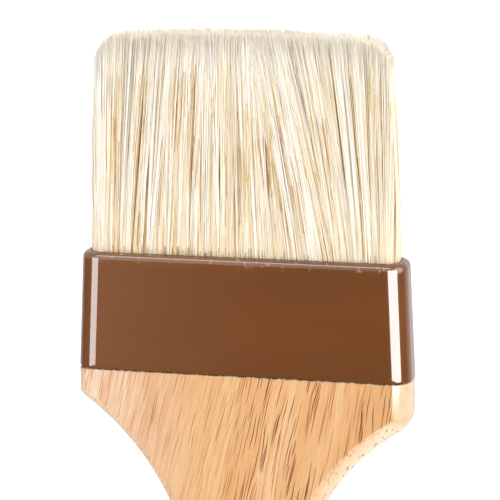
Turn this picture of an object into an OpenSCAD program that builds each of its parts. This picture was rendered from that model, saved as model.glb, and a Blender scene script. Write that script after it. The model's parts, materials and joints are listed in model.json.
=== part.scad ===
// Wide flat brush: a hardwood handle, a moulded plastic ferrule, and two rows of
// natural bristle set in resin on either side of a spacer plug.
// +Z runs from the end of the handle to the bristle tips, X across the width,
// and -Y is the front broad face. The origin is at the end of the handle.

/* [Ferrule] */
// Width of the ferrule at its mouth
lip_w = 82.4; // [60:0.2:100]
// Width of the ferrule where it meets the handle
skirt_w = 85.2; // [62:0.2:104]
// Thickness of the ferrule at its mouth
lip_t = 13.8; // [12.6:0.1:16]
// Thickness of the ferrule where it meets the handle
skirt_t = 14.6; // [13.4:0.1:17]
// Height of the ferrule
ferrule_h = 29.5; // [26:0.5:36]
// Wall thickness of the ferrule
wall = 2; // [1.6:0.1:2.2]
// Radius of the ferrule's upright corners
corner_r = 5.4; // [4.5:0.1:6]
// Radius of the rolled outer edge of the mouth
lip_r = 1.6; // [0.8:0.1:1.8]

/* [Handle] */
// Length of the handle below the ferrule
handle_l = 140; // [120:1:170]
// Length of the tongue inside the ferrule
tongue_l = 13.5; // [10:0.5:14]
// Width of the handle at the neck
neck_w = 26; // [22:0.5:32]
// Height above the handle's end at which the neck is narrowest
neck_z = 78; // [72:0.5:84]
// Width of the grip
grip_w = 34; // [28:0.5:40]
// Height of the grip's widest place above its end
grip_z = 26; // [22:0.5:32]
// Drop from the ferrule to the left shoulder's corner
drop_left = 7; // [4:0.5:14]
// Drop from the ferrule to the right shoulder's corner
drop_right = 11.5; // [4:0.5:14]
// Radius that rounds the handle's long edges
edge_r = 5.4; // [3:0.1:6]
// Diameter of the hanging hole
hang_d = 8; // [5:0.5:10]
// Height of the hanging hole above the handle's end
hang_z = 18; // [15:0.5:24]

/* [Bristles] */
// Length of bristle that stands above the ferrule's mouth
bristle_l = 55.5; // [40:0.5:70]
// Share of that length below the line the bristles bend about
bend_share = 0.15; // [0.13:0.01:0.2]
// Width of the pack at its tips
tip_w = 75.6; // [50:0.2:90]
// Radius of the pack's top corners
tip_r = 6.5; // [3:0.5:12]
// Thickness of the plug that parts the two rows
plug_t = 3; // [2:0.1:4]

/* [Hidden] */

$fn = 48;
corner_steps = 6;
eps = 0.01;

// The gaps that the adhesive and the resin leave at the ferrule's wall, and the
// thickness of the adhesive round the tongue
film = 0.05;
glue_t = 0.4;
// The clearance of the bending bristles over their roots
bend_gap = 0.3;

skirt_z = handle_l;
lip_z = handle_l + ferrule_h;
tip_z = lip_z + bristle_l;

// Handle: a little inside the ferrule's skirt all round, and its end slightly flat
skin = 0.1;
end_flat = 0.2;
handle_b = skirt_t / 2 - skin;
handle_a = skirt_w / 2 - skin;

// Levels of the resin, the plug and the roots inside the ferrule
setting_z = skirt_z + 15;
setting_h = 8;
setting_floor = 1.5;
plug_z = setting_z + 3;
plug_h = 8;
roots_z = setting_z + setting_floor;

// The pack at the mouth, its bend line and its radius about that line
root_gap = 0.2;
pack_a = lip_w / 2 - wall - root_gap;
pack_b = lip_t / 2 - wall - root_gap;
pack_r = corner_r - wall;
half_gap = 0.1;
bend_z = lip_z + bend_share * bristle_l;

// Half widths and half thicknesses of the ferrule at a height z
function taper(z, low, high) = low + (high - low) * (z - skirt_z) / ferrule_h;
function ferrule_a(z) = taper(z, skirt_w / 2, lip_w / 2);
function ferrule_b(z) = taper(z, skirt_t / 2, lip_t / 2);

// A ring of points at height z: a rounded rectangle from -left to +right, half
// thickness b, with elliptical corners of width rl or rr and depth ry
function corner(cx, cy, rx, ry, from, z) =
    [for (i = [0 : corner_steps])
        let (t = from + 90 * i / corner_steps)
        [cx + rx * cos(t), cy + ry * sin(t), z]];
function ring(left, right, b, rl, rr, ry, z) = concat(
    corner(right - rr, b - ry, rr, ry, 0, z),
    corner(rl - left, b - ry, rl, ry, 90, z),
    corner(rl - left, ry - b, rl, ry, 180, z),
    corner(right - rr, ry - b, rr, ry, 270, z));
function even_ring(a, b, r, z) = ring(a, a, b, r, r, r, z);

// A closed solid through a list of rings, from the lowest to the highest
module loft(rings) {
    n = len(rings[0]);
    m = len(rings);
    points = [for (r = rings) each r];
    sides = [for (j = [0 : m - 2], i = [0 : n - 1])
        let (k = (i + 1) % n)
        each [[j * n + i, (j + 1) * n + k, j * n + k],
              [j * n + i, (j + 1) * n + i, (j + 1) * n + k]]];
    low = [[for (i = [0 : n - 1]) i]];
    high = [[for (i = [n - 1 : -1 : 0]) (m - 1) * n + i]];
    polyhedron(points, concat(sides, low, high), convexity = 4);
}

// The inside of the ferrule between two heights, drawn in from the wall by a gap
function inside_ring(z, gap) =
    even_ring(ferrule_a(z) - wall - gap, ferrule_b(z) - wall - gap,
              corner_r - wall - gap, z);
module inside(z0, z1, gap) {
    loft([inside_ring(z0, gap), inside_ring(z1, gap)]);
}

// The straight-sided room for the tongue, whose size the narrow end of its cavity sets
module tongue_prism(z0, z1, gap) {
    rounded_prism(z0, z1, ferrule_a(setting_z) - wall - gap,
                  ferrule_b(setting_z) - wall - gap, corner_r - wall - gap);
}

// An upright prism with rounded corners between two heights
module rounded_prism(z0, z1, a, b, r) {
    translate([0, 0, z0]) linear_extrude(z1 - z0) union() {
        square([2 * (a - r), 2 * b], center = true);
        square([2 * a, 2 * (b - r)], center = true);
        for (sx = [-1, 1], sy = [-1, 1])
            translate([sx * (a - r), sy * (b - r)]) circle(r);
    }
}

// Everything on one side of the plane between the rows: side is -1 for the front
module half_space(side) {
    reach = skirt_w;
    translate([-reach, side < 0 ? -reach - half_gap : half_gap, 0])
        cube([2 * reach, reach, tip_z + reach]);
}

// Half width of the handle at height z on a side whose shoulder drops by drop
function shoulder_z(drop) = handle_l - drop;
function shoulder_r(drop) =
    let (h = shoulder_z(drop) - neck_z, d = handle_a - neck_w / 2)
    (h * h + d * d) / (2 * d);
function swell(z) = (1 - cos(180 * (neck_z - z) / (neck_z - grip_z))) / 2;
function half_w(z, drop) =
    z >= shoulder_z(drop) ? handle_a :
    z >= neck_z ? neck_w / 2 + shoulder_r(drop)
        - sqrt(pow(shoulder_r(drop), 2) - pow(z - neck_z, 2)) :
    z >= grip_z ? neck_w / 2 + (grip_w - neck_w) / 2 * swell(z) :
    grip_w / 2 * sqrt(1 - pow((grip_z - z) / (grip_z + end_flat), 2));

// The roundover seen in a level cut is wider where the outline leans over
function lean(z, drop) = (half_w(z + eps, drop) - half_w(max(0, z - eps), drop)) / (2 * eps);
function round_w(z, drop) =
    min(half_w(z, drop) - eps, edge_r * sqrt(1 + pow(lean(z, drop), 2)));
function round_t(z) = z >= edge_r ? 0 : edge_r - sqrt(pow(edge_r, 2) - pow(edge_r - z, 2));
function handle_ring(z) =
    let (b = handle_b - round_t(z))
    ring(half_w(z, drop_left), half_w(z, drop_right), b,
         round_w(z, drop_left), round_w(z, drop_right), min(edge_r, b - eps), z);

// Levels of the handle: round the end, along the grip and neck, and over the shoulders
end_levels = [for (t = [0 : 10 : 80]) grip_z * (1 - cos(t))];
grip_levels = [for (i = [0 : 7]) grip_z + (neck_z - grip_z) * i / 7];
low_corner = shoulder_z(max(drop_left, drop_right));
high_corner = shoulder_z(min(drop_left, drop_right));
shoulder_levels = [for (i = [1 : 9]) neck_z + (low_corner - neck_z) * sin(10 * i)];
corner_levels = low_corner == high_corner ? [low_corner + 3 * eps] :
    [low_corner + 3 * eps, (low_corner + high_corner) / 2, high_corner - 2 * eps,
     high_corner + 3 * eps];
handle_levels = concat(end_levels, grip_levels, shoulder_levels, corner_levels, [handle_l]);

module handle() {
    color("burlywood") difference() {
        union() {
            loft([for (z = handle_levels) handle_ring(z)]);
            tongue_prism(skirt_z - eps, skirt_z + tongue_l, film + glue_t);
        }
        translate([0, 0, hang_z]) rotate([90, 0, 0])
            cylinder(h = 2 * skirt_t, d = hang_d, center = true);
    }
}

// Outer rings of the ferrule: a straight flare with a rolled edge at the mouth
lip_turns = [0 : 22.5 : 90];
skirt_edge = 0.4;
function outer_ring(z, inset) =
    even_ring(ferrule_a(z) - inset, ferrule_b(z) - inset, corner_r - inset, z);
ferrule_rings = concat(
    [outer_ring(skirt_z, skirt_edge / 2), outer_ring(skirt_z + skirt_edge, 0)],
    [for (t = lip_turns) outer_ring(lip_z - lip_r + lip_r * sin(t), lip_r * (1 - cos(t)))]);

module ferrule() {
    color("saddlebrown") difference() {
        loft(ferrule_rings);
        inside(skirt_z - 1, lip_z + 1, 0);
    }
}

// The adhesive is a cap over the tongue, up to the underside of the resin
module handle_glue() {
    color("khaki") difference() {
        tongue_prism(skirt_z, setting_z, film);
        tongue_prism(skirt_z - 1, skirt_z + tongue_l, film + glue_t);
    }
}

// One row of roots, from inside the resin up to the bend line, beside the plug and
// closing in above it, with a round seat for the bending bristles in its top
module roots(side) {
    parted_h = plug_z + plug_h - roots_z + 1;
    intersection() {
        half_space(side);
        difference() {
            rounded_prism(roots_z, bend_z, pack_a, pack_b, pack_r);
            translate([0, 0, roots_z - 1 + parted_h / 2])
                cube([2 * skirt_w, plug_t, parted_h], center = true);
            translate([0, 0, bend_z]) rotate([0, 90, 0])
                cylinder(h = 2 * skirt_w, r = pack_b + bend_gap, center = true);
        }
    }
}

module plug_block() {
    translate([0, 0, plug_z + plug_h / 2])
        cube([2 * (pack_a - pack_r), plug_t, plug_h], center = true);
}

// The resin, with pockets where the roots and the plug stand in it
module setting() {
    color("darkgoldenrod") difference() {
        inside(setting_z, setting_z + setting_h, film);
        roots(-1);
        roots(1);
        plug_block();
    }
}

module spacer_plug() {
    color("peru") plug_block();
}

module bristle_roots_front() {
    color("wheat") roots(-1);
}

module bristle_roots_rear() {
    color("wheat") roots(1);
}

// Front view of the free bristles: straight sides that draw in towards the tips and
// rounded top corners
module tuft_outline() {
    top_a = tip_w / 2;
    polygon(concat(
        [[-pack_a, 0], [pack_a, 0]],
        [for (t = [0 : 15 : 90])
            [top_a - tip_r + tip_r * cos(t), tip_z - bend_z - tip_r + tip_r * sin(t)]],
        [for (t = [90 : 15 : 180])
            [tip_r - top_a + tip_r * cos(t), tip_z - bend_z - tip_r + tip_r * sin(t)]]));
}

// One row of free bristles: a slab above the bend line on half a round base
module tuft(side) {
    intersection() {
        half_space(side);
        rounded_prism(bend_z - 2 * pack_b, tip_z + 1, pack_a, pack_b, pack_r);
        translate([0, 0, bend_z]) union() {
            rotate([90, 0, 0]) linear_extrude(2 * skirt_t, center = true) tuft_outline();
            rotate([0, 90, 0]) cylinder(h = 2 * pack_a, r = pack_b, center = true);
        }
    }
}

module bristles_front() {
    color("ivory") tuft(-1);
}

module bristles_rear() {
    color("ivory") tuft(1);
}

handle();
ferrule();
handle_glue();
setting();
spacer_plug();
bristle_roots_front();
bristle_roots_rear();
bristles_front();
bristles_rear();
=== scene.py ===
"""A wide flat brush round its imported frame: lacquered wood, brown plastic, natural bristle."""
import json
import math

import bpy
import numpy as np
from mathutils import Matrix, Vector


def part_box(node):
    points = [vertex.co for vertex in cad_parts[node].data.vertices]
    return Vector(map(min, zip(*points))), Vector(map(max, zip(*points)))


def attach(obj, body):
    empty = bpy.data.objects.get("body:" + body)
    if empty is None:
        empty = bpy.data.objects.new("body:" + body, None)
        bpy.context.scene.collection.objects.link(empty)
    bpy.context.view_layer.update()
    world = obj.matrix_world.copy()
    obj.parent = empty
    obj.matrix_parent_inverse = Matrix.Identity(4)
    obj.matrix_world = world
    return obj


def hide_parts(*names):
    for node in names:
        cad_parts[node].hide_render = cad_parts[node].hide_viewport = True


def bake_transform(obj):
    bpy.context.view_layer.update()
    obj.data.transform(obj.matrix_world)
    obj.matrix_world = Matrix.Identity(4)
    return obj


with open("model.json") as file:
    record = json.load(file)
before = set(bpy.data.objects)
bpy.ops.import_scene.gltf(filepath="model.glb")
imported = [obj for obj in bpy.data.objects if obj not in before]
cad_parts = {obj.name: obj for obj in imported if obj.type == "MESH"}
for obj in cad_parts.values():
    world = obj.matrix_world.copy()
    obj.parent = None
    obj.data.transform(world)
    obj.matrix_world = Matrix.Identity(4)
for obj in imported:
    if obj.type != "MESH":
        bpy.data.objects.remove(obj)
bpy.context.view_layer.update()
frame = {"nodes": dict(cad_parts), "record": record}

MM = 0.001
BODY, PACK = "brush_body", "bristle_pack"

# ---------------------------------------------------------------- places from the frame
ferrule_low, ferrule_high = (np.array(p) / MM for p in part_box("ferrule"))
handle_low, handle_high = (np.array(p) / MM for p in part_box("handle"))
roots_low, roots_high = (np.array(p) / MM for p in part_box("bristle_roots_front"))
hair_high = np.array(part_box("bristles_front")[1]) / MM
HANG = next(m for m in frame["record"]["mounts"] if m["name"] == "hang_hole")

SKIRT_Z = ferrule_low[2]
LIP_Z = ferrule_high[2]
SKIRT_A, SKIRT_B = ferrule_high[0], ferrule_high[1]
ROOT_Z = roots_low[2]
TIP_Z = hair_high[2]
PACK_A, PACK_B = roots_high[0], -roots_low[1]


# ---------------------------------------------------------------- small helpers
def ease(t):
    """Smooth step from 0 to 1."""
    t = np.clip(t, 0, 1)
    return t * t * (3 - 2 * t)


def linear(*srgb):
    """A colour picked as 0 to 255 sRGB, as linear RGBA."""
    c = np.array(srgb, float) / 255
    c = np.where(c <= 0.04045, c / 12.92, ((c + 0.055) / 1.055) ** 2.4)
    return (*c, 1.0)


def mesh_piece(name, verts_mm, faces, materials, index=None):
    """A new object from arrays: verts in millimetres, faces as equal-sided rows."""
    faces = np.asarray(faces, np.int32)
    mesh = bpy.data.meshes.new(name)
    mesh.vertices.add(len(verts_mm))
    mesh.vertices.foreach_set("co", (np.asarray(verts_mm) * MM).astype(np.float32).ravel())
    sides = faces.shape[1]
    mesh.loops.add(faces.size)
    mesh.loops.foreach_set("vertex_index", faces.ravel())
    mesh.polygons.add(len(faces))
    mesh.polygons.foreach_set("loop_start", np.arange(len(faces), dtype=np.int32) * sides)
    for material in materials:
        mesh.materials.append(material)
    if index is not None:
        mesh.polygons.foreach_set("material_index", np.asarray(index, np.int32))
    mesh.update(calc_edges=True)
    mesh.validate()
    mesh.shade_smooth()
    piece = bpy.data.objects.new(name, mesh)
    bpy.context.scene.collection.objects.link(piece)
    return piece


# ---------------------------------------------------------------- node-tree helpers
class Tree:
    """A material's node tree, with short calls for the nodes used here."""

    def __init__(self, name):
        self.material = bpy.data.materials.new(name)
        self.material.use_nodes = True
        self.nodes = self.material.node_tree.nodes
        self.links = self.material.node_tree.links
        self.shader = self.nodes["Principled BSDF"]

    def set(self, **sockets):
        for name, value in sockets.items():
            self.put(self.shader.inputs[name.replace("_", " ")], value)
        return self

    def put(self, socket, value):
        if isinstance(value, bpy.types.NodeSocket):
            self.links.new(value, socket)
        else:
            socket.default_value = value

    def node(self, kind, output=0, inputs=(), **settings):
        made = self.nodes.new(kind)
        for key, value in settings.items():
            setattr(made, key, value)
        for key, value in dict(inputs).items():
            self.put(made.inputs[key], value)
        return made.outputs[output]

    def millimetres(self):
        """The place on the object, in millimetres."""
        place = self.node("ShaderNodeTexCoord", "Object")
        return self.mapped(place, scale=(1 / MM, 1 / MM, 1 / MM))

    def separate(self, vector):
        made = self.nodes.new("ShaderNodeSeparateXYZ")
        self.links.new(vector, made.inputs[0])
        return made.outputs[0], made.outputs[1], made.outputs[2]

    def fade(self, value, start, end, at_start=0.0, at_end=1.0):
        """A straight change from at_start to at_end as value goes from start to end."""
        return self.node("ShaderNodeMapRange", inputs={
            0: value, 1: start, 2: end, 3: at_start, 4: at_end})

    def mapped(self, vector, scale=(1, 1, 1), rotation=(0, 0, 0), location=(0, 0, 0)):
        return self.node("ShaderNodeMapping", inputs={
            "Vector": vector, "Scale": scale, "Rotation": rotation, "Location": location})

    def noise(self, vector, scale, detail=2.0, roughness=0.5, distortion=0.0):
        return self.node("ShaderNodeTexNoise", "Fac", {
            "Vector": vector, "Scale": scale, "Detail": detail,
            "Roughness": roughness, "Distortion": distortion})

    def ramp(self, fac, *stops):
        made = self.nodes.new("ShaderNodeValToRGB")
        elements = made.color_ramp.elements
        while len(elements) < len(stops):
            elements.new(0.5)
        for element, (at, colour) in zip(elements, stops):
            element.position = at
            element.color = colour if isinstance(colour, tuple) else (colour,) * 3 + (1,)
        self.links.new(fac, made.inputs[0])
        return made.outputs["Color"]

    def maths(self, operation, a, b=0.0, clamp=False):
        return self.node("ShaderNodeMath", inputs={0: a, 1: b},
                         operation=operation, use_clamp=clamp)

    def times(self, a, b, clamp=False):
        return self.maths("MULTIPLY", a, b, clamp)

    def mix(self, fac, a, b, blend="MIX"):
        made = self.nodes.new("ShaderNodeMix")
        made.data_type, made.blend_type = "RGBA", blend
        self.put(made.inputs["Factor"], fac)
        self.put(made.inputs[6], a)
        self.put(made.inputs[7], b)
        return made.outputs[2]

    def bump(self, height, strength, distance):
        return self.node("ShaderNodeBump", inputs={
            "Height": height, "Strength": strength, "Distance": distance})


# ---------------------------------------------------------------- materials
GRAIN_LEAN = math.radians(13)


def wood_material():
    """Open-pored tan hardwood under clear lacquer. Its pores are long cells along the
    leaning grain, so they show as dashes on the faces and as dots where it is cut across."""
    t = Tree("lacquered_hardwood")
    here = t.millimetres()
    grain = t.mapped(here, rotation=(0, -GRAIN_LEAN, 0))
    wander = t.noise(t.mapped(grain, scale=(0.03, 0.03, 0.012)), 1.0, 2.0)
    ripple = t.noise(t.mapped(grain, scale=(0.25, 0.25, 0.07)), 1.0, 2.0)
    x, y, z = t.separate(grain)
    shift = t.maths("ADD", t.times(wander, 7.0), t.times(ripple, 1.6))
    bent = t.node("ShaderNodeCombineXYZ", inputs={0: t.maths("ADD", x, shift), 1: y, 2: z})
    across, _, height_here = t.separate(here)

    # broad colour: pale and pinkish at the left edge, deeper orange tan past the middle
    bands = t.noise(t.mapped(bent, scale=(0.10, 0.10, 0.004)), 1.0, 3.0, 0.55)
    base = t.ramp(bands, (0.30, linear(226, 194, 152)), (0.50, linear(213, 169, 119)),
                  (0.72, linear(200, 149, 97)))
    left = t.fade(across, -42.0, -8.0, 1.0, 0.0)
    base = t.mix(t.times(left, 0.9), base, linear(224, 202, 180))
    streaks = t.noise(t.mapped(bent, scale=(0.9, 0.9, 0.03)), 1.0, 4.0, 0.65)
    base = t.mix(t.times(t.ramp(streaks, (0.44, 0.0), (0.60, 1.0)), 0.42),
                 base, linear(198, 136, 78))
    fibres = t.noise(t.mapped(bent, scale=(5.0, 5.0, 0.16)), 1.0, 3.0, 0.7)
    base = t.mix(t.times(t.ramp(fibres, (0.42, 0.0), (0.62, 1.0)), 0.34),
                 base, linear(188, 126, 76))

    # the surface cut across the grain is paler, with every pore open; less so on the left
    facing = t.node("ShaderNodeVectorMath", "Value", {
        0: t.node("ShaderNodeTexCoord", "Normal"),
        1: (math.sin(GRAIN_LEAN), 0.0, math.cos(GRAIN_LEAN))}, operation="DOT_PRODUCT")
    cut = t.fade(t.maths("ABSOLUTE", facing), 0.12, 0.44)
    cut = t.times(cut, t.fade(across, -14.0, 6.0, 0.3, 1.0))
    base = t.mix(t.times(cut, 0.9), base, linear(240, 218, 190))

    # painted highlight: the rounded side facing right is paler than the broad faces, for the light
    # it catches from the right; it is also closer grained
    outward = t.separate(t.node("ShaderNodeTexCoord", "Normal"))[0]
    rounded = t.fade(outward, 0.30, 0.45)
    base = t.mix(t.times(rounded, 0.6), base, linear(222, 188, 158))

    uncut = t.maths("SUBTRACT", 1.0, t.times(cut, 0.85))
    uncut = t.times(uncut, t.maths("SUBTRACT", 1.0, t.times(rounded, 0.8)))
    side = t.ramp(t.maths("ADD", t.times(across, 0.016), 0.46),
                  (0.30, 0.10), (0.66, 1.0))
    patch = t.ramp(t.noise(t.mapped(bent, scale=(0.09, 0.09, 0.02)), 1.0, 2.0),
                   (0.38, 0.12), (0.60, 1.0))
    weights = (  # cell density, half width, colour, share on the face, share of the side's rise
        ((2.1, 2.1, 0.045), 0.27, linear(168, 92, 38), 0.70, 0.30),
        ((1.9, 1.9, 0.042), 0.25, linear(118, 56, 18), 0.20, 1.15),
        ((1.6, 1.6, 0.042), 0.19, linear(58, 26, 8), 0.00, 1.10),
        ((1.4, 1.4, 0.050), 0.14, linear(22, 11, 4), 0.00, 1.20))
    height = t.times(fibres, 0.2)
    for i, (density, size, colour, flat, rise) in enumerate(weights):
        moved = t.mapped(bent, location=(17.0 * i, 31.0 * i, 7.0 * i))
        pores = pore_layer(t, moved, density, size)
        share = t.maths("ADD", t.times(t.times(side, patch), rise), flat)
        share = t.times(share, uncut)
        amount = t.times(pores, share, clamp=True)
        base = t.mix(amount, base, colour)
        height = t.maths("SUBTRACT", height, amount)

    dots = t.times(pore_layer(t, bent, (1.05, 1.05, 0.25), 0.25), cut)
    base = t.mix(t.times(dots, 0.95), base, linear(96, 52, 24))

    # painted shade: a thin band of the wood just under the ferrule is darkened, broken up by noise,
    # for the shade in the seam
    specks = t.ramp(t.noise(here, 0.9, 2.0, 0.6), (0.36, 0.25), (0.56, 1.0))
    seam_shade = t.fade(height_here, SKIRT_Z - 0.45, SKIRT_Z - 0.15, 0.0, 0.95)
    base = t.mix(t.times(seam_shade, specks), base, linear(62, 36, 18))

    t.set(Base_Color=base, Roughness=0.5, Specular_IOR_Level=0.15, Coat_Weight=1.0,
          Coat_Roughness=0.07, Coat_IOR=1.6, Normal=t.bump(height, 0.15, 0.00006))
    return t.material


def pore_layer(t, vector, scale, size):
    """1 inside long cells' hearts, 0 outside."""
    cells = t.node("ShaderNodeTexVoronoi", "Distance", {
        "Vector": t.mapped(vector, scale=scale), "Scale": 1.0, "Randomness": 1.0})
    return t.ramp(cells, (size * 0.8, 1.0), (size, 0.0))


def plastic_material():
    """Glossy moulded plastic, paler on the left from a painted reflection of light: faint flow
    marks and a barely wavy surface.
    """
    t = Tree("glossy_brown_plastic")
    here = t.millimetres()
    flow = t.noise(t.mapped(here, scale=(0.03, 0.05, 0.08)), 1.0, 2.0, 0.5, 0.3)
    colour = t.ramp(flow, (0.30, linear(100, 57, 22)), (0.70, linear(106, 60, 25)))
    across, _, height = t.separate(here)
    # painted reflection: the left part is paler, for a broad light mirrored in the face there
    left = t.fade(across, 6.0, -34.0, 0.0, 0.6)
    colour = t.mix(left, colour, linear(116, 72, 40))
    # crumbs of dried resin stuck along the lip
    specks = t.ramp(t.noise(here, 0.8, 3.0, 0.7), (0.60, 0.0), (0.66, 1.0))
    lip = t.fade(height, LIP_Z - 2.6, LIP_Z - 1.0, 0.0, 0.6)
    colour = t.mix(t.times(specks, lip), colour, linear(190, 154, 116))
    wave = t.noise(t.mapped(here, scale=(0.05, 0.05, 0.03)), 1.0, 0.0)
    peel = t.noise(here, 0.9, 1.0)
    scuffs = t.noise(t.mapped(here, scale=(0.25, 0.25, 0.25)), 1.0, 4.0, 0.6)
    relief = t.maths("ADD", wave, t.times(peel, 0.012))
    t.set(Base_Color=colour, Coat_Weight=1.0, Coat_Roughness=0.03, Coat_IOR=1.75,
          Specular_IOR_Level=0.1,
          Roughness=t.fade(scuffs, 0.3, 0.7, 0.30, 0.36),
          Normal=t.bump(relief, 0.5, 0.00006))
    return t.material


# Hair runs from near white to golden. A hair is thinner than any pattern on it, so the
# colour varies from hair to hair and along each hair. Each stretch is one plain tone.
HAIR_TONES = (
    linear(246, 240, 230), linear(241, 231, 212), linear(235, 220, 191),
    linear(228, 206, 165), linear(216, 183, 128), linear(202, 157, 92),
    linear(180, 132, 66), linear(158, 130, 80))
DEEPEST = len(HAIR_TONES) - 1


def hair_materials():
    """One plain material for each tone. They have no nodes but the shader."""
    made = []
    for i, tone in enumerate(HAIR_TONES):
        t = Tree(f"bristle_tone_{i}")
        t.set(Base_Color=tone, Roughness=0.42, Specular_IOR_Level=0.45,
              Sheen_Weight=0.15, Sheen_Roughness=0.4)
        made.append(t.material)
    return made


def core_material():
    """What shows between the hairs: golden streaks that are partly the inner hairs' colour and
    partly painted shade, paler at the tips from painted light and dark at the mouth from painted
    shade.
    """
    t = Tree("bristle_depths")
    here = t.millimetres()
    streaks = t.noise(t.mapped(here, scale=(2.2, 2.2, 0.05)), 1.0, 3.0, 0.65)
    colour = t.ramp(streaks, (0.32, linear(196, 156, 98)), (0.55, linear(220, 190, 142)),
                    (0.75, linear(238, 220, 186)))
    height = t.separate(here)[2]
    # painted light: paler towards the tips, for the light that comes through the thin tips
    tip_light = t.fade(height, LIP_Z + 34.0, LIP_Z + 50.0, 0.0, 0.85)
    colour = t.mix(tip_light, colour, linear(244, 236, 216))
    # painted shade: dark at the mouth, where the pack shades itself
    core_mouth_shade = t.fade(height, LIP_Z - 1.0, LIP_Z + 4.0, 1.0, 0.0)
    t.set(Base_Color=t.mix(core_mouth_shade, colour, linear(92, 66, 30)), Roughness=0.7)
    return t.material


def inner_material(name, low, high, grain=(0.6, 0.6, 0.6), roughness=0.5, coat=0.0):
    """The hidden pieces: cured resin, adhesive and plain wood, mottled between two colours."""
    t = Tree(name)
    here = t.millimetres()
    mottle = t.noise(t.mapped(here, scale=grain), 1.0, 4.0, 0.6)
    t.set(Base_Color=t.ramp(mottle, (0.3, low), (0.7, high)), Roughness=roughness,
          Coat_Weight=coat, Normal=t.bump(mottle, 0.2, 0.0001))
    return t.material


# ---------------------------------------------------------------- handle
HALF_T = -handle_low[1]
EDGE_W_LEFT, EDGE_W_RIGHT = 2.4, 4.0
EDGE_DEPTH = 0.8
CREASE = math.radians(26)
BLEND_X = 12.0
NECK_A, NECK_Z = 13.0, 78.0
GRIP_A, GRIP_Z = 17.0, 26.0
END_BLUNT = 0.2  # keeps the lower end from closing to a point
SHOULDER_A = handle_high[0]
DROP_LEFT, DROP_RIGHT = 7.0, 11.5
CORNER_LEFT, CORNER_RIGHT = 1.2, 3.0
LEFT_SHARE = 0.988


def half_width(z, drop):
    """The outline's half width at heights z on a side whose shoulder drops by drop."""
    corner_z = SKIRT_Z - drop
    h, d = corner_z - NECK_Z, SHOULDER_A - NECK_A
    r = (h * h + d * d) / (2 * d)
    arc = NECK_A + r - np.sqrt(np.maximum(r * r - (z - NECK_Z) ** 2, 0))
    swell = (1 - np.cos(np.pi * (NECK_Z - z) / (NECK_Z - GRIP_Z))) / 2
    grip = NECK_A + (GRIP_A - NECK_A) * swell
    end = GRIP_A * np.sqrt(np.maximum(1 - ((GRIP_Z - z) / (GRIP_Z + END_BLUNT)) ** 2, 0))
    return np.where(z >= corner_z, SHOULDER_A,
                    np.where(z >= NECK_Z, arc, np.where(z >= GRIP_Z, grip, end)))


def rounded_side(drop, radius):
    """(width, z) points of one side, from the end up to the ferrule, with its corner rounded."""
    corner = np.array([SHOULDER_A, SKIRT_Z - drop])
    below = corner[1] - radius * 0.75
    low = GRIP_Z * (1 - np.cos(np.linspace(0, np.pi / 2, 40)))[:-1]
    z = np.concatenate([low, np.linspace(GRIP_Z, below, 260)])
    side = np.stack([half_width(z, drop), z], 1)
    start, end = side[-1], corner + [0, radius]
    t = np.linspace(0, 1, 14)[1:, None]
    bend = (1 - t) ** 2 * start + 2 * t * (1 - t) * corner + t * t * end
    top = np.linspace(end[1], SKIRT_Z, 12)[1:]
    return np.concatenate([side, bend, np.stack([np.full(len(top), SHOULDER_A), top], 1)])


def distance_to(path, points):
    """Shortest distance from each point to a path's segments."""
    a, b = path[:-1], path[1:]
    best = np.full(len(points), np.inf)
    for p, q in zip(a, b):
        d = q - p
        t = np.clip(((points - p) @ d) / max(d @ d, 1e-12), 0, 1)
        best = np.minimum(best, np.hypot(*(points - p - t[:, None] * d).T))
    return best


def edge_width(x):
    """The width of the rounded edge: the right side is rounded over more than the left."""
    share = ease((x + BLEND_X) / (2 * BLEND_X))
    return EDGE_W_LEFT + (EDGE_W_RIGHT - EDGE_W_LEFT) * share


def edge_drop(depth, width):
    """How far the surface falls below the flat face at a distance in from the outline. The
    rounding starts with a crease and ends square to the outline."""
    r = width / (1 - math.sin(CREASE))
    run = np.clip(width - depth, 0, width) + r * math.sin(CREASE)
    return EDGE_DEPTH * (r * math.cos(CREASE) - np.sqrt(np.maximum(r * r - run ** 2, 0)))


def crease_lines(levels, x_low, x_high, outline):
    """At each level, the two x where the flat face ends."""
    samples = np.linspace(0, 1, 241)
    x = x_low[:, None] + (x_high - x_low)[:, None] * samples
    z = np.repeat(levels[:, None], len(samples), 1)
    depth = distance_to(outline, np.stack([x.ravel(), z.ravel()], 1)).reshape(x.shape)
    depth = depth - edge_width(x)
    lines = []
    for row_x, row_depth in zip(x, depth):
        flat = np.flatnonzero(row_depth >= 0)
        peak = int(np.argmax(row_depth))
        if len(flat) < 3:
            step = (row_x[-1] - row_x[0]) * 0.04
            lines.append((row_x[peak] - step, row_x[peak] + step))
            continue
        ends = []
        for i, j in ((flat[0] - 1, flat[0]), (flat[-1] + 1, flat[-1])):
            f = -row_depth[i] / (row_depth[j] - row_depth[i])
            ends.append(row_x[i] + f * (row_x[j] - row_x[i]))
        lines.append(tuple(ends))
    return np.array(lines)


EDGE_STEPS, FACE_STEPS = 12, 34
TONGUE_A, TONGUE_B, TONGUE_R = 39.44, 4.50, 2.95
TONGUE_SUNK = 0.5  # how far the tongue starts below the shoulder, so that the two join
# how much the last three rows are cut back, to ease the top edge
TOP_EASE = ((-3, 0.0), (-2, 0.20), (-1, 0.50))
HANDLE_CREASE, FERRULE_CREASE = 16, 50  # degrees over which an edge is shaded as sharp


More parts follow.
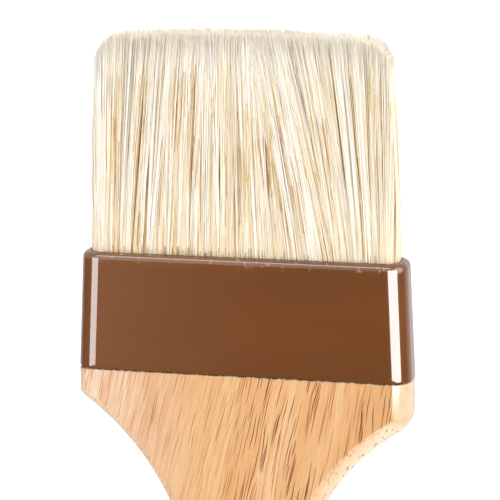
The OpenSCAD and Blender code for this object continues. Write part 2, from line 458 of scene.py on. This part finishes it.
def make_handle(material):
    """A plank shape with its outline rounded over, flat broad faces, a tongue and a hole."""
    left = rounded_side(DROP_LEFT, CORNER_LEFT) * [-LEFT_SHARE, 1]
    right = rounded_side(DROP_RIGHT, CORNER_RIGHT)
    outline = np.concatenate([left[::-1], right])

    low = GRIP_Z * (1 - np.cos(np.linspace(0, np.pi / 2, 26)))[:-1]
    levels = np.concatenate([
        low, np.linspace(GRIP_Z, 104, 60)[:-1], np.linspace(104, SKIRT_Z - 0.3, 130),
        [SKIRT_Z - 0.12, SKIRT_Z]])
    x_low = np.interp(levels, left[:, 1], left[:, 0])
    x_high = np.interp(levels, right[:, 1], right[:, 0])
    lines = crease_lines(levels, x_low, x_high, outline)
    edge = (1 - np.cos(np.linspace(0, np.pi / 2, EDGE_STEPS + 1)))[None]
    face = np.linspace(0, 1, FACE_STEPS + 1)[None]
    x = np.concatenate([
        x_low[:, None] + (lines[:, :1] - x_low[:, None]) * edge,
        (lines[:, :1] + (lines[:, 1:] - lines[:, :1]) * face)[:, 1:-1],
        x_high[:, None] + (lines[:, 1:] - x_high[:, None]) * edge[:, ::-1]], 1)
    columns = x.shape[1]
    z = np.repeat(levels[:, None], columns, 1)
    depth = distance_to(outline, np.stack([x.ravel(), z.ravel()], 1)).reshape(x.shape)
    depth[:, [0, -1]] = 0
    y = HALF_T - edge_drop(depth, edge_width(x))
    # the top edge is eased, which leaves a fine seam under the ferrule
    for row, cut in TOP_EASE:
        y[row] -= cut
        x[row] *= 1 - cut / SHOULDER_A
    rows = len(levels)
    n = rows * columns
    front = np.stack([x, -y, z], -1).reshape(-1, 3)
    back = np.stack([x, y, z], -1).reshape(-1, 3)
    r, c = np.meshgrid(np.arange(rows - 1), np.arange(columns - 1), indexing="ij")
    i = (r * columns + c).ravel()
    j = i + columns
    faces = [np.stack([i, i + 1, j + 1, j], 1), np.stack([n + i, n + j, n + j + 1, n + i + 1], 1)]
    i = np.arange(rows - 1) * columns
    faces.append(np.stack([i, i + columns, n + i + columns, n + i], 1))
    i = i + columns - 1
    faces.append(np.stack([n + i, n + i + columns, i + columns, i], 1))
    c = np.arange(columns - 1)
    faces.append(np.stack([c, n + c, n + c + 1, c + 1], 1))
    top = (rows - 1) * columns + c
    faces.append(np.stack([top, top + 1, n + top + 1, n + top], 1))
    handle = mesh_piece("handle_wood", np.concatenate([front, back]),
                        np.concatenate(faces), [material])
    tongue = rounded_block("handle_tongue_shape", (-TONGUE_A, -TONGUE_B, SKIRT_Z - TONGUE_SUNK),
                           (TONGUE_A, TONGUE_B, handle_high[2]), TONGUE_R)
    hole = lathe_y("hang_hole_shape", HANG)
    cut_with(handle, hole, "DIFFERENCE")
    cut_with(handle, tongue, "UNION")
    handle.data.shade_smooth()
    sharpen(handle, HANDLE_CREASE)
    return handle


def rounded_block(name, low, high, radius, steps=6):
    """An upright prism with rounded corners, as a tool for cutting or joining."""
    a, b = (high[0] - low[0]) / 2, (high[1] - low[1]) / 2
    ring = []
    for sx, sy, start in ((1, 1, 0), (-1, 1, 90), (-1, -1, 180), (1, -1, 270)):
        for i in range(steps + 1):
            t = math.radians(start + 90 * i / steps)
            ring.append((sx * (a - radius) + radius * math.cos(t),
                         sy * (b - radius) + radius * math.sin(t)))
    n = len(ring)
    verts = [(x, y, z) for z in (low[2], high[2]) for x, y in ring]
    mesh = bpy.data.meshes.new(name)
    faces = [(i, (i + 1) % n, n + (i + 1) % n, n + i) for i in range(n)]
    mesh.from_pydata([tuple(c * MM for c in v) for v in verts], [],
                     faces + [tuple(reversed(range(n))), tuple(range(n, 2 * n))])
    tool = bpy.data.objects.new(name, mesh)
    bpy.context.scene.collection.objects.link(tool)
    return tool


def lathe_y(name, mount, flare=0.7, steps=48):
    """The hanging hole's cutter: the mount's bore, widened where it meets each face."""
    r, half = mount["dims"]["r_mm"], mount["dims"]["length_mm"] / 2
    centre = np.array(mount["pos_m"]) / MM
    profile = [(r + flare + 0.5, -half - 0.5), (r + flare, -half), (r + 0.2, -half + flare * 0.6),
               (r, -half + flare * 1.3), (r, half - flare * 1.3),
               (r + 0.2, half - flare * 0.6), (r + flare, half), (r + flare + 0.5, half + 0.5)]
    verts, faces = [], []
    for radius, y in profile:
        for i in range(steps):
            t = 2 * math.pi * i / steps
            verts.append(centre + [radius * math.cos(t), y, radius * math.sin(t)])
    m = len(profile)
    for j in range(m - 1):
        for i in range(steps):
            k = (i + 1) % steps
            faces.append((j * steps + i, (j + 1) * steps + i, (j + 1) * steps + k, j * steps + k))
    faces.append(tuple(range(steps)))
    faces.append(tuple((m - 1) * steps + i for i in reversed(range(steps))))
    mesh = bpy.data.meshes.new(name)
    mesh.from_pydata([tuple(float(c) * MM for c in v) for v in verts], [], faces)
    tool = bpy.data.objects.new(name, mesh)
    bpy.context.scene.collection.objects.link(tool)
    return tool


def cut_with(piece, tool, operation):
    """Applies a boolean with the tool, then removes the tool."""
    change = piece.modifiers.new("shape", "BOOLEAN")
    change.operation, change.object, change.solver = operation, tool, "EXACT"
    bpy.context.view_layer.update()
    depsgraph = bpy.context.evaluated_depsgraph_get()
    mesh = bpy.data.meshes.new_from_object(piece.evaluated_get(depsgraph))
    piece.modifiers.clear()
    piece.data = mesh
    bpy.data.objects.remove(tool)


def sharpen(piece, degrees):
    """Marks edges over an angle as sharp, so that smooth shading stops there."""
    piece.data.set_sharp_from_angle(angle=math.radians(degrees))


# ---------------------------------------------------------------- ferrule
WALL = 2.0
LIP_A, LIP_B = 41.2, 6.9
CORNER_R = 5.4
LIP_R = 1.6
SKIRT_EDGE = 0.35
CROWN = 0.16


def ferrule_outline(z, inset):
    """A ring of the ferrule at height z, drawn in by inset, with slightly crowned faces.

    Known fault: the face line runs against the ring's turn, so the ring doubles back along
    the front and the back, and flat faces are left just under the crowned ones."""
    f = (z - SKIRT_Z) / (LIP_Z - SKIRT_Z)
    a = SKIRT_A + (LIP_A - SKIRT_A) * f - inset
    b = SKIRT_B + (LIP_B - SKIRT_B) * f - inset
    r = max(CORNER_R - inset, 0.5)
    crown = CROWN * math.sin(math.pi * min(max(f, 0), 1) * 0.9 + 0.15) if inset < 1 else 0.0
    face = np.linspace(-1, 1, 41)
    side = np.linspace(-1, 1, 7)
    turn = np.radians(np.linspace(0, 90, 15))[1:-1]
    half = np.concatenate([
        np.stack([-face * (a - r), -b - crown * (1 - face ** 6)], 1),
        np.array([a - r, r - b]) + r * np.stack([np.sin(turn), -np.cos(turn)], 1),
        np.stack([np.full(len(side), a), side * (b - r)], 1),
        np.array([a - r, b - r]) + r * np.stack([np.cos(turn), np.sin(turn)], 1)])
    ring = np.concatenate([half, -half])
    return np.column_stack([ring, np.full(len(ring), z)])


def ferrule_profile():
    """(inset, z) round the wall's section: up the outside, over the lip, down the inside."""
    turn = np.radians(np.linspace(0, 90, 9))
    skirt = [(SKIRT_EDGE * (1 - math.sin(t)), SKIRT_Z + SKIRT_EDGE * (1 - math.cos(t)))
             for t in turn[:-1]]
    outer = [(0, z) for z in np.linspace(SKIRT_Z + SKIRT_EDGE, LIP_Z - LIP_R, 22)]
    lip = [(LIP_R * (1 - math.cos(t)), LIP_Z - LIP_R + LIP_R * math.sin(t)) for t in turn[1:]]
    inner_r = WALL - LIP_R - 0.08
    inner = [(WALL - inner_r * (1 - math.sin(t)), LIP_Z - inner_r * (1 - math.cos(t)))
             for t in turn[::2]]
    down = [(WALL, z) for z in np.linspace(LIP_Z - 1.5, SKIRT_Z + 0.01, 8)]
    return skirt + outer + lip + inner + down


def make_ferrule(material):
    """The ferrule's shell: its rings joined into one closed wall."""
    rings = [ferrule_outline(z, inset) for inset, z in ferrule_profile()]
    n, m = len(rings[0]), len(rings)
    i = np.arange(n)
    faces = []
    for j in range(m):
        a, b = j * n, ((j + 1) % m) * n
        faces.append(np.stack([a + i, a + (i + 1) % n, b + (i + 1) % n, b + i], 1))
    piece = mesh_piece("ferrule_shell", np.concatenate(rings), np.concatenate(faces), [material])
    sharpen(piece, FERRULE_CREASE)
    return piece


# ---------------------------------------------------------------- bristles
FREE = TIP_Z - LIP_Z
TIP_A = 36.4
TIP_CORNER = 6.5
RINGS = 8
SIDES = 3
ROOT_CORNER = 3.4
SEED = 11
HAIR_RADIUS = (0.09, 0.15)
SHORT_SHARE = 0.05  # the share of hairs that stop well below the trim
# the share of clumps with golden stretches, across the width
GOLDEN_AT = (-39, -25, -5, 15, 28, 39)
GOLDEN = (0.25, 0.5, 0.8, 0.65, 0.4, 0.15)


def pack_edge(u, inset):
    """A point on one row's outer edge, u from 0 at the left side through the front face to
    1 at the right side, drawn in by inset. The row's flat rear lies on the plane y = 0."""
    r = ROOT_CORNER
    side, arc, face = PACK_B - r, math.pi / 2 * r, 2 * (PACK_A - r)
    total = 2 * side + 2 * arc + face
    s = u * total
    x, y, nx, ny = (np.zeros_like(u) for _ in range(4))
    part = np.digitize(s, np.cumsum([side, arc, face, arc]))
    starts = np.concatenate([[0], np.cumsum([side, arc, face, arc])])
    along = s - starts[part]
    for k, sign in ((0, -1), (4, 1)):
        at = part == k
        y[at] = -along[at] if k == 0 else -(side - along[at])
        x[at], nx[at] = sign * PACK_A, sign
    for k, sign in ((1, -1), (3, 1)):
        at = part == k
        t = along[at] / r if k == 1 else math.pi / 2 - along[at] / r
        x[at], y[at] = sign * (PACK_A - r + r * np.cos(t)), -side - r * np.sin(t)
        nx[at], ny[at] = sign * np.cos(t), -np.sin(t)
    at = part == 2
    x[at], y[at], ny[at] = along[at] - (PACK_A - r), -PACK_B, -1
    return x - nx * inset, np.minimum(y - ny * inset, -0.1)


# how far the hair leans sideways, across the width, as a share of its length
LEAN_AT = (-39, -34, -28, -18, -8, 0, 8, 15, 22, 28, 33, 39)
LEAN = (0.00, 0.03, 0.10, 0.07, 0.03, -0.01, -0.07, -0.16, -0.20, -0.12, -0.04, 0.0)
# the share of hairs painted dark with shade where they leave the ferrule, across the width
MOUTH_SHADE_AT = (-39, -20, 0, 12, 39)
MOUTH_SHADE = (0.03, 0.16, 0.20, 0.08, 0.02)


def strands(rng, count, inset_low, inset_high, lean_share, clump, tones):
    """Roots, paths, widths and tones of one layer of hairs of a row, as arrays."""
    # clumps first: hairs gather towards them and share their lean, depth and reach
    clumps = max(8, int(count / clump))
    centre_u = (np.arange(clumps) + rng.uniform(-0.45, 0.45, clumps) + 0.5) / clumps
    centre_u = np.clip(centre_u, 0.002, 0.998)
    owner = rng.integers(0, clumps, count)
    spread = rng.normal(0, 0.42, count) / clumps
    u = np.clip(centre_u[owner] + spread * 1.25, 0.001, 0.999)
    inset = rng.uniform(inset_low, inset_high, count)
    x0, y0 = pack_edge(u, inset)
    xc, _ = pack_edge(centre_u[owner], inset)
    sunk = rng.gamma(1.5, 0.16, clumps)[owner]
    lean = np.interp(xc, LEAN_AT, LEAN) * lean_share
    lean = lean + rng.normal(0, 0.016, clumps)[owner] + rng.normal(0, 0.010, count)
    gather = rng.uniform(0.25, 0.75, clumps)[owner]

    # ring heights differ from hair to hair, with a low one just above the mouth
    steps = np.linspace(0, 1, RINGS - 1)[None, :]
    jitter = rng.uniform(-0.4, 0.4, (count, RINGS - 1)) / (RINGS - 2)
    jitter[:, [0, -1]] = 0
    t = np.sort(np.concatenate([rng.uniform(0.008, 0.045, (count, 1)), steps + jitter], 1), 1)
    pull = gather[:, None] * ease(t / 0.55) * (1 - 0.5 * ease((t - 0.6) / 0.4))
    x = x0[:, None] - (x0 - xc)[:, None] * pull
    x = x + lean[:, None] * FREE * (t ** 1.15)
    phase, size = rng.uniform(0, 6.3, (2, count, 1)), rng.normal(0, 0.13, (count, 1))
    x = x + size * np.sin(phase[0] + 3.2 * t) * ease(t / 0.3)
    # the sides draw in towards the tips, and no hair leaves them far
    edge = PACK_A + (TIP_A - PACK_A) * t + 0.25 * np.sin(np.pi * t)
    edge = edge + rng.normal(0, 0.16, (count, 1)) * t
    x = np.clip(x, -edge, edge)
    belly = 1 + 0.09 * np.sin(np.pi * np.clip(t * 0.9, 0, 1)) - 0.05 * t
    y = y0[:, None] * belly + sunk[:, None] * ease(t / 0.25)
    y = y + rng.normal(0, 0.10, (count, 1)) * ease(t / 0.4) * np.sin(phase[1] + 2.6 * t)
    y = np.minimum(y, 0.15)

    # tips: an even trim with a ragged last few millimetres and rounded corners
    out = np.clip(np.abs(x[:, -1]) - (TIP_A - TIP_CORNER), 0, TIP_CORNER - 0.05)
    drop = TIP_CORNER - np.sqrt(TIP_CORNER ** 2 - out ** 2)
    arch = 0.9 * (x[:, -1] / TIP_A) ** 2
    ragged = rng.gamma(1.4, 0.75, count) + rng.uniform(0, 1.0, clumps)[owner] * 0.6
    reach = FREE + 0.4 - drop * 0.92 - arch - ragged
    short = rng.uniform(size=count) < SHORT_SHARE
    reach = np.where(short, reach - rng.uniform(2, 9, count), reach)
    z = LIP_Z + t * reach[:, None]
    width = rng.uniform(*HAIR_RADIUS, count)[:, None] * (1 - 0.30 * t ** 1.6)
    width[:, -1] *= 0.55
    tone = rng.choice(len(tones), count, p=np.array(tones) / sum(tones))
    # the tone of each stretch between rings, the one inside the ferrule first
    bands = np.repeat(tone[:, None], RINGS, 1)
    middle = (t[:, 1:] + t[:, :-1]) / 2
    golden = rng.uniform(size=clumps)[owner] < np.interp(xc, GOLDEN_AT, GOLDEN)
    from_t = rng.uniform(0.05, 0.7, clumps)[owner] + rng.normal(0, 0.05, count)
    long_t = rng.uniform(0.12, 0.42, clumps)[owner]
    inside = (middle > from_t[:, None]) & (middle < (from_t + long_t)[:, None])
    bands[:, 1:] += 3 * (inside & golden[:, None] & (rng.uniform(size=(count, 1)) < 0.6))
    mouth_shade = np.interp(x0, MOUTH_SHADE_AT, MOUTH_SHADE)
    # painted shade: most hairs are a tone deeper over their first stretches above the mouth
    bands[:, 1:3] += rng.uniform(size=(count, 1)) < 0.6
    # painted shade: hair that lies deeper takes a more golden tone, for the warm shade it lies in;
    # every tip is pale
    bands[:, 1:] += np.minimum(np.round(sunk * 4.0), 3).astype(int)[:, None]
    bands[:, -2] = np.minimum(bands[:, -2], 4)
    bands[:, -1] = np.minimum(bands[:, -1], 1)
    bands = np.clip(bands, 0, DEEPEST - 1)
    # painted shade: a share of hairs take the darkest tone just above the mouth
    bands[rng.uniform(size=count) < mouth_shade, 1] = DEEPEST
    bands[:, 0] = DEEPEST
    return np.stack([x, y, z], -1), width, bands


def hair_piece(name, paths, widths, tones, mirror, materials, rng):
    """One closed, tapered three-sided hair along each path, with its root in the resin."""
    count = len(paths)
    roots = paths[:, :1].copy()
    roots[..., 2] = ROOT_Z + 0.4
    mouth_pull = np.array([1 - 0.25 / PACK_A, 1 - 0.3 / PACK_B, 1])
    roots = roots * mouth_pull
    paths = np.concatenate([roots, paths], 1)
    widths = np.concatenate([widths[:, :1], widths], 1)
    rings = RINGS + 1
    if mirror:
        paths = paths * [1, -1, 1]
    spin = rng.uniform(0, 2 * np.pi, (count, 1, 1)) + 2 * np.pi * np.arange(SIDES) / SIDES
    ring = np.stack([np.cos(spin), np.sin(spin), np.zeros_like(spin)], -1)
    verts = paths[:, :, None, :] + ring * widths[:, :, None, None]
    verts = verts.reshape(-1, 3)
    base = (np.arange(count) * rings * SIDES)[:, None, None]
    j = (np.arange(rings - 1) * SIDES)[None, :, None]
    i, k = np.arange(SIDES)[None, None], ((np.arange(SIDES) + 1) % SIDES)[None, None]
    a, b = base + j + i, base + j + k
    c, d = b + SIDES, a + SIDES
    sides = np.concatenate([np.stack([a, b, c], -1), np.stack([a, c, d], -1)], 2)
    band = np.broadcast_to(np.arange(rings - 1)[None, :, None], sides.shape[:3])
    owner = np.broadcast_to(np.arange(count)[:, None, None], sides.shape[:3])
    low = np.stack([base[:, 0, 0] + s for s in (2, 1, 0)], -1)
    high = np.stack([base[:, 0, 0] + (rings - 1) * SIDES + s for s in (0, 1, 2)], -1)
    faces = np.concatenate([sides.reshape(-1, 3), low, high])
    band = np.concatenate([band.ravel(), np.zeros(count, int), np.full(count, rings - 2)])
    owner = np.concatenate([owner.ravel(), np.arange(count), np.arange(count)])
    tone = tones[owner, band]
    return mesh_piece(name, verts, faces, materials, tone)


CORE_COLUMNS, CORE_ROWS = 150, 14
CORE_INSET = 1.15
CORE_SEED = SEED + 90


def make_core(materials, side):
    """The inside of a row, seen only through gaps: a fluted slab, drawn in from the hairs."""
    columns, rows = CORE_COLUMNS, CORE_ROWS
    u = np.linspace(0.0, 1.0, columns)
    x, y = pack_edge(u, np.full(columns, CORE_INSET))
    rng = np.random.default_rng(CORE_SEED)
    flute = rng.uniform(-0.22, 0.22, columns)
    t = np.linspace(0, 1, rows)
    x = np.clip(x, -PACK_A + 1.2, PACK_A - 1.2)
    grid = []
    for f in t:
        z = ROOT_Z + 1.0 + f * (TIP_Z - 3.0 - ROOT_Z)
        g = max(0.0, (z - LIP_Z) / FREE)
        xs = x * (1 + (TIP_A / PACK_A - 1) * g)
        out = np.clip(np.abs(xs) - (TIP_A - TIP_CORNER - 0.5), 0, TIP_CORNER - 0.8)
        ys = (y + flute) * (1 - 0.12 * g)
        zs = z - (TIP_CORNER - np.sqrt(TIP_CORNER ** 2 - out ** 2)) * ease(f)
        grid.append(np.stack([xs, np.minimum(ys, -0.3), zs], 1))
    front = np.array(grid)
    rear = front.copy()
    rear[..., 1] = 0.05
    n = rows * columns
    verts = np.concatenate([front.reshape(-1, 3), rear.reshape(-1, 3)])
    if side > 0:
        verts = verts * [1, -1, 1]
    faces = []
    for r in range(rows - 1):
        for c in range(columns - 1):
            i, j = r * columns + c, (r + 1) * columns + c
            faces.append((i, i + 1, j + 1, j))
            faces.append((n + i, n + j, n + j + 1, n + i + 1))
        for c in (0, columns - 1):
            i, j = r * columns + c, (r + 1) * columns + c
            quad = (i, j, n + j, n + i)
            faces.append(quad if c == 0 else quad[::-1])
    for c in range(columns - 1):
        top = (rows - 1) * columns + c
        faces.append((c, n + c, n + c + 1, c + 1))
        faces.append((top, top + 1, n + top + 1, n + top))
    faces = np.array(faces)
    if side > 0:
        faces = faces[:, ::-1]
    name = "bristle_core_front" if side < 0 else "bristle_core_rear"
    return mesh_piece(name, verts, faces, materials)


def bend_with_joint(piece):
    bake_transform(piece)


def make_bristles(tones, depths):
    """Both rows: an outer coat of clumped hairs, an under coat, inner hairs and a core."""
    # count, how deep it starts and ends, share of the lean, hairs a clump, shares of the tones
    layers = {
        "outer": (3000, 0.0, 0.45, 1.0, 16, (50, 30, 13, 5, 2, 0, 0, 0)),
        # the under and inner coats lean golden: partly the hair's own colour and partly painted
        # warm shade deep in the pack
        "under": (1800, 0.35, 1.1, 0.75, 12, (0, 6, 20, 28, 26, 16, 4, 0)),
        "inner": (1300, 1.0, 4.4, 0.4, 10, (0, 6, 18, 28, 28, 16, 4, 0))}
    for side, row in ((-1, "front"), (1, "rear")):
        rng = np.random.default_rng(SEED + side)
        for layer, (count, low, high, lean, clump, shares) in layers.items():
            paths, widths, tone = strands(rng, count, low, high, lean, clump, shares)
            piece = hair_piece(f"bristles_{row}_{layer}", paths, widths, tone,
                               side > 0, tones, rng)
            bend_with_joint(piece)
            if layer == "outer":
                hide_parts(f"bristles_{row}", f"bristle_roots_{row}")
        bend_with_joint(make_core([depths], side))


# ---------------------------------------------------------------- assembly
def build():
    handle = make_handle(wood_material())
    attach(handle, BODY)
    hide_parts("handle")

    ferrule = make_ferrule(plastic_material())
    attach(ferrule, BODY)
    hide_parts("ferrule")

    make_bristles(hair_materials(), core_material())

    hidden = {
        "handle_glue": inner_material("dried_adhesive", linear(206, 186, 120),
                                      linear(226, 208, 150), roughness=0.4),
        "setting": inner_material("cured_resin", linear(150, 104, 44), linear(190, 140, 70),
                                  roughness=0.3, coat=0.5),
        "spacer_plug": inner_material("plain_wood_plug", linear(186, 150, 104),
                                      linear(216, 182, 134), grain=(0.05, 1.2, 1.2))}
    for node, material in hidden.items():
        piece = frame["nodes"][node]
        for s in piece.material_slots:
            s.material = material


# ---------------------------------------------------------------- stage, lights and camera
FLOOR_HALF = 40000
FLOOR_DROP = 0.0004
FLOOR_GLOW = 0.55
PAPER = 0.86


def make_stage():
    """A plain pale floor. It gives off light, like the lit paper of a white studio, and is
    left out of reflections."""
    t = Tree("white_paper")
    t.set(Base_Color=(PAPER, PAPER, PAPER, 1), Roughness=0.9,
          Emission_Color=(1, 1, 1, 1), Emission_Strength=FLOOR_GLOW)
    corners = [(x * FLOOR_HALF, y * FLOOR_HALF, 0) for x, y in ((-1, -1), (1, -1), (1, 1), (-1, 1))]
    floor = mesh_piece("floor", corners, [(0, 1, 2, 3)], [t.material])
    floor.location.z = -FLOOR_DROP
    floor.visible_glossy = False


ROOM_STRENGTH, ROOM_DARK = 0.72, 0.02
SEEN_WHITE = 1.02
# axis, and where along it the room goes from dark to white: upwards, and behind the brush
ROOM_FADES = ((2, -0.06, 0.05), (1, 0.25, 0.6))


def make_world():
    """The room lights and mirrors as white above the horizon and behind the brush, and dark
    below it in front. Seen directly, it is plain white paper like the floor."""
    world = bpy.data.worlds.new("studio")
    bpy.context.scene.world = world
    world.use_nodes = True
    nodes, links = world.node_tree.nodes, world.node_tree.links
    place = nodes.new("ShaderNodeTexCoord")
    parts = nodes.new("ShaderNodeSeparateXYZ")
    links.new(place.outputs["Generated"], parts.inputs[0])
    both = nodes.new("ShaderNodeMath")
    both.operation = "MAXIMUM"
    for i, (axis, low, high) in enumerate(ROOM_FADES):
        ramp = nodes.new("ShaderNodeMapRange")
        ramp.inputs[1].default_value, ramp.inputs[2].default_value = low, high
        ramp.inputs[3].default_value, ramp.inputs[4].default_value = ROOM_DARK, 1.0
        links.new(parts.outputs[axis], ramp.inputs[0])
        links.new(ramp.outputs[0], both.inputs[i])
    direct = nodes.new("ShaderNodeMath")
    direct.operation = "MULTIPLY"
    links.new(nodes.new("ShaderNodeLightPath").outputs["Is Camera Ray"], direct.inputs[0])
    direct.inputs[1].default_value = SEEN_WHITE / ROOM_STRENGTH
    seen = nodes.new("ShaderNodeMath")
    seen.operation = "MAXIMUM"
    links.new(both.outputs[0], seen.inputs[0])
    links.new(direct.outputs[0], seen.inputs[1])
    links.new(seen.outputs[0], nodes["Background"].inputs["Color"])
    nodes["Background"].inputs["Strength"].default_value = ROOM_STRENGTH


def soft_box(name, azimuth, distance, low, high, width, radiance, gloss_only):
    """An upright soft box that faces the brush. azimuth is measured from the front, right
    positive; low and high are heights, and radiance is its brightness. A gloss_only box is
    a strip of light that shows in shiny surfaces and adds nothing to the room's light."""
    a = math.radians(azimuth)
    light = bpy.data.lights.new(name, "AREA")
    light.shape, light.size, light.size_y = "RECTANGLE", width, high - low
    light.energy = radiance * math.pi * width * (high - low)
    lamp = bpy.data.objects.new(name, light)
    bpy.context.scene.collection.objects.link(lamp)
    lamp.location = (math.sin(a) * distance, -math.cos(a) * distance, (low + high) / 2)
    aim = Vector((0, 0, min(lamp.location.z, 0.4))) - lamp.location
    lamp.rotation_euler = aim.to_track_quat("-Z", "Y").to_euler()
    lamp.visible_camera = False
    lamp.visible_diffuse = not gloss_only


# name, azimuth, distance, low, high, width, radiance, gloss_only
LIGHTS = (
    ("left_strip", -39.5, 0.50, 0.005, 0.34, 0.27, 6.2, True),
    ("right_strip", 44, 0.50, 0.005, 0.34, 0.44, 11.0, True),
    ("back_strip", 158, 0.50, 0.005, 0.26, 0.42, 0.1, True),
    ("left_key", -32, 0.9, 0.30, 1.05, 0.7, 0.70, False),
    ("right_key", 80, 0.7, 0.10, 0.85, 0.6, 2.9, False),
    ("high_box", -5, 0.40, 0.80, 1.05, 0.9, 4.6, False))


def make_lights():
    for light in LIGHTS:
        soft_box(*light)


# degrees from the front and up, degrees of roll, millimetres from the aim, lens in millimetres
CAMERA = {"azimuth": 13.7, "elevation": 11.8, "roll": -0.44, "distance": 573.6, "lens": 166.8}
AIM_OFFSET = Vector((1.3, 0.0, 15.8))  # from the ferrule's middle, in millimetres


def make_camera():
    """A long lens, to the right of the front and a little above, as the brush is seen."""
    a, e, roll = (math.radians(CAMERA[k]) for k in ("azimuth", "elevation", "roll"))
    back = Vector((math.sin(a) * math.cos(e), -math.cos(a) * math.cos(e), math.sin(e)))
    aim = Vector((0, 0, (SKIRT_Z + LIP_Z) / 2)) + AIM_OFFSET
    right = Vector((0, 0, 1)).cross(back).normalized()
    up = back.cross(right)
    turned = right * math.cos(roll) + up * math.sin(roll)
    data = bpy.data.cameras.new("camera")
    data.lens, data.sensor_width = CAMERA["lens"], 36.0
    data.clip_start, data.clip_end = 0.01, 50
    camera = bpy.data.objects.new("camera", data)
    bpy.context.scene.collection.objects.link(camera)
    matrix = Matrix((turned, back.cross(turned), back)).transposed().to_4x4()
    matrix.translation = (aim + back * CAMERA["distance"]) * MM
    camera.matrix_world = matrix
    bpy.context.scene.camera = camera


def main():
    bpy.context.scene.view_settings.view_transform = "Standard"
    make_camera()
    make_world()
    make_stage()
    make_lights()
    build()


main()
